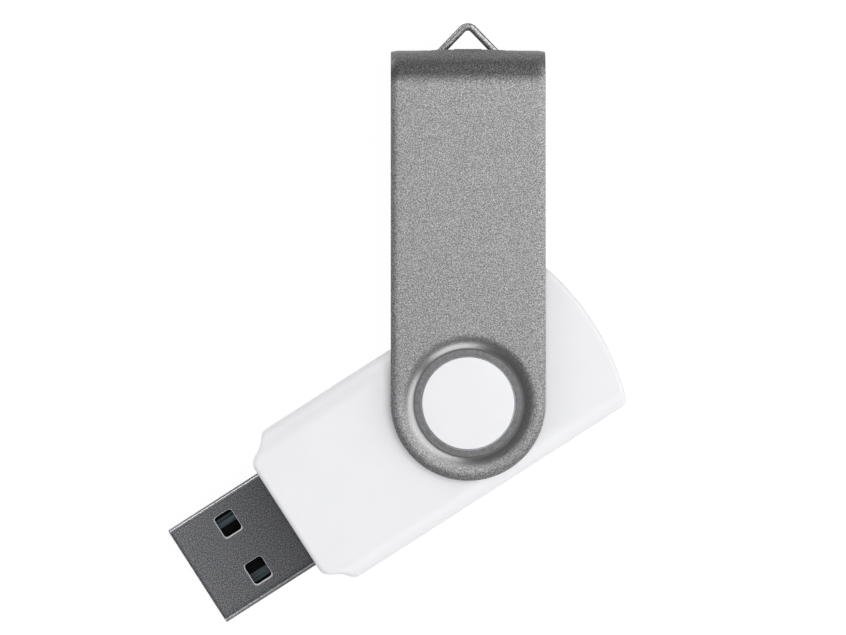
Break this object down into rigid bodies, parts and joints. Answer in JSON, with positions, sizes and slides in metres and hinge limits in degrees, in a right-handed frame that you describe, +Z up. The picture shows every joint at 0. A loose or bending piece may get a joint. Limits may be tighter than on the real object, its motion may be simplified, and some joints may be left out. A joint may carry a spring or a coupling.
{
  "type": "flash drive",
  "caption": "Flash drive with a rounded plastic body, a flat rectangular plug and a folded sheet-metal clip that swivels on round bosses and carries a wire keyring loop.",
  "frame": {"origin": "on the swivel axis, in the plane of the clip's lower outer face, on which the drive rests", "axes": "-X out of the plug, +Z up along the swivel axis, +Y to the left of the body seen from the plug's tip looking back"},
  "size_m": [0.0635, 0.0468, 0.0108],
  "materials": {
    "body_plastic": "satin white moulded plastic",
    "clip_metal": "sand-blasted gunmetal grey",
    "loop_wire": "bright drawn wire, slightly rough",
    "plug_steel": "dark plated steel with bright cut edges",
    "tongue_plastic": "black moulded plastic",
    "contact_nickel": "nickel-plated spring strip",
    "board_laminate": "green solder mask",
    "solder": "bright solder",
    "chip_epoxy": "black moulded epoxy",
    "lead_tin": "tinned",
    "crystal_metal": "plain drawn metal can",
    "capacitor_ceramic": "tan ceramic with tinned ends",
    "resistor_ceramic": "black film with tinned ends",
    "led_lens": "clear yellowish epoxy"
  },
  "bodies": {
    "drive": {"lower_shell": "body_plastic", "upper_shell": "body_plastic", "plug_shell": "plug_steel", "plug_insulator": "tongue_plastic", "vbus_contact": "contact_nickel", "data_minus_contact": "contact_nickel", "data_plus_contact": "contact_nickel", "ground_contact": "contact_nickel", "circuit_board": "board_laminate", "plug_solder_joints": "solder", "contact_solder_joints": "solder", "flash_chip": "chip_epoxy", "flash_chip_leads": "lead_tin", "controller_chip": "chip_epoxy", "controller_leads": "lead_tin", "crystal_can": "crystal_metal", "crystal_leads": "lead_tin", "voltage_regulator": "chip_epoxy", "regulator_leads": "lead_tin", "capacitors": "capacitor_ceramic", "resistors": "resistor_ceramic", "status_led": "led_lens"},
    "clip": {"swivel_clip": "clip_metal"},
    "loop": {"keyring_loop": "loop_wire"}
  },
  "joints": [
    {"name": "clip_swivel", "type": "hinge", "parent": "drive", "child": "clip", "pos_m": [0, 0, 0.0054], "axis": [0, 0, 1], "continuous": true},
    {"name": "loop_swing", "type": "hinge", "parent": "clip", "child": "loop", "pos_m": [0.02027, 0.03158, 0.0054], "axis": [0.8415, -0.5402, 0], "range_deg": [-45, 45]}
  ]
}
